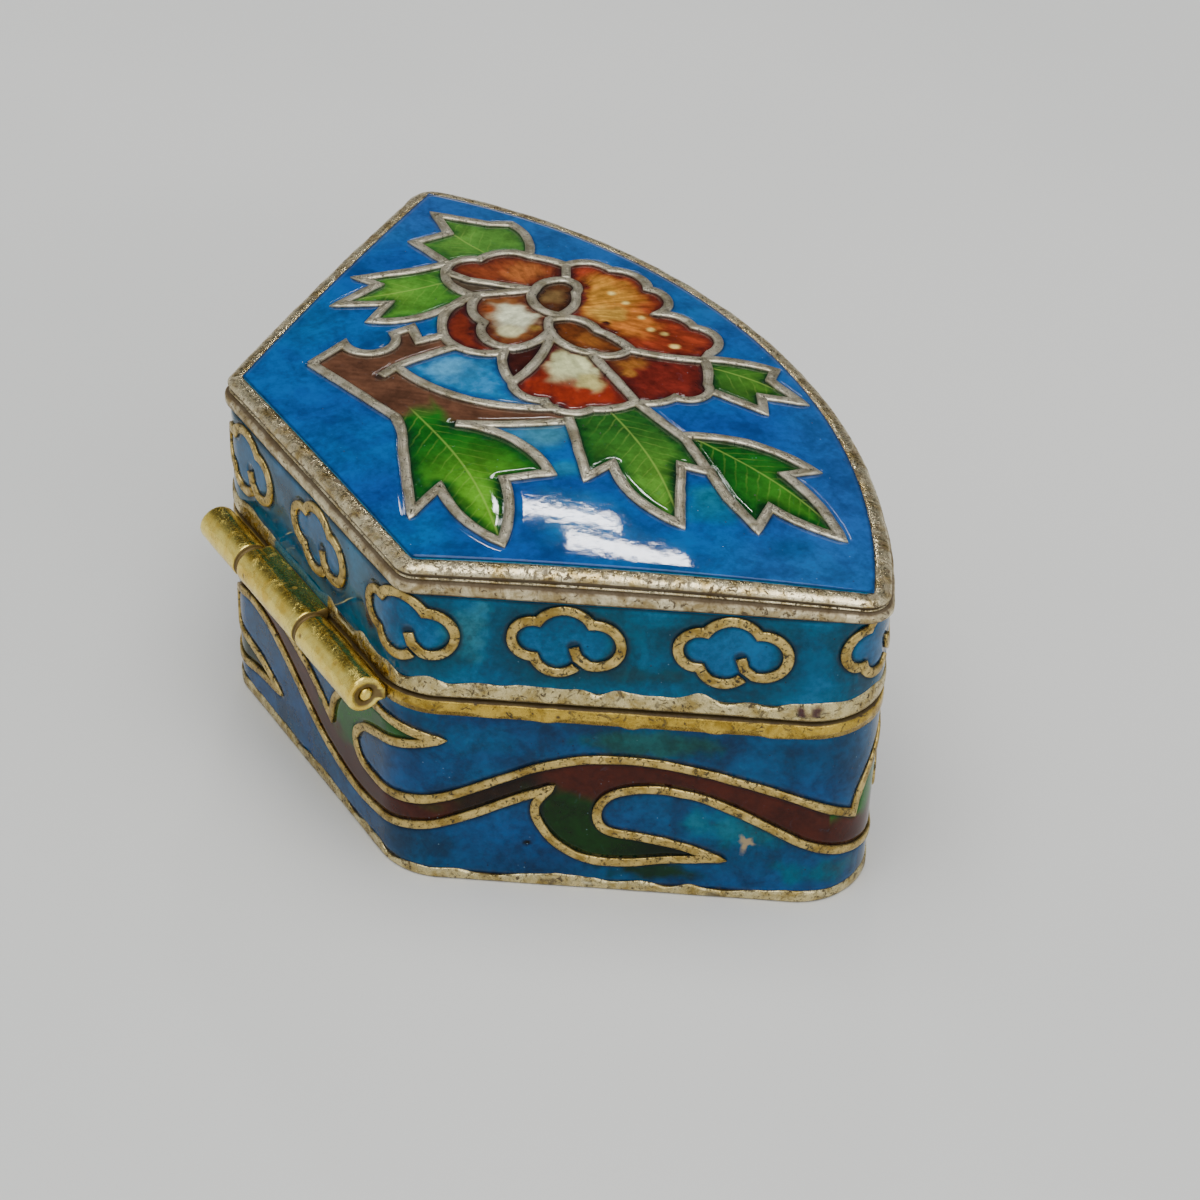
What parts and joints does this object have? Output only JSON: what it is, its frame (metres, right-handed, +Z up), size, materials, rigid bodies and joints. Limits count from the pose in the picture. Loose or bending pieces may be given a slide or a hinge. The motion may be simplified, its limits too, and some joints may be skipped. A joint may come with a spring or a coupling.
{
  "type": "trinket box",
  "caption": "Fan-shaped enamel box with a hinged crowned lid, brass edge strips and a barrel hinge, drawn over with brass wires: a peony on top, clouds and a vine round the sides.",
  "frame": {"origin": "on the table under the middle of the whole box, hinge included", "axes": "+X along the wide curved front, +Y from the curved front to the hinge at the narrow end, +Z up"},
  "size_m": [0.0494, 0.0324, 0.0216],
  "materials": {
    "enamel": "glossy fired enamel, blue with turquoise and green, mottled",
    "gilt_strip": "worn gilt brass, pitted, dull",
    "gilt_wire": "pale worn gilt brass, ground flush and pitted",
    "hinge_brass": "polished brass"
  },
  "bodies": {
    "base": {"base_shell": "enamel", "base_foot_rim": "gilt_strip", "base_mouth_rim": "gilt_strip", "base_vine_upper_wire": "gilt_wire", "base_vine_lower_wire": "gilt_wire", "hinge_knuckle_left": "hinge_brass", "hinge_knuckle_right": "hinge_brass", "hinge_pin": "hinge_brass"},
    "lid": {"lid_shell": "enamel", "lid_mouth_rim": "gilt_strip", "lid_top_moulding": "gilt_strip", "lid_peony_wires": "gilt_wire", "lid_cloud_wire_01": "gilt_wire", "lid_cloud_wire_02": "gilt_wire", "lid_cloud_wire_03": "gilt_wire", "lid_cloud_wire_04": "gilt_wire", "lid_cloud_wire_05": "gilt_wire", "lid_cloud_wire_06": "gilt_wire", "lid_cloud_wire_07": "gilt_wire", "lid_cloud_wire_08": "gilt_wire", "lid_cloud_wire_09": "gilt_wire", "lid_cloud_wire_10": "gilt_wire", "lid_cloud_wire_11": "gilt_wire", "lid_cloud_wire_12": "gilt_wire", "lid_cloud_wire_13": "gilt_wire", "lid_cloud_wire_14": "gilt_wire", "hinge_knuckle_lid": "hinge_brass"}
  },
  "joints": [
    {"name": "lid_hinge", "type": "hinge", "parent": "base", "child": "lid", "pos_m": [0, 0.01509, 0.0123], "axis": [-1, 0, 0], "range_deg": [0, 110]}
  ]
}
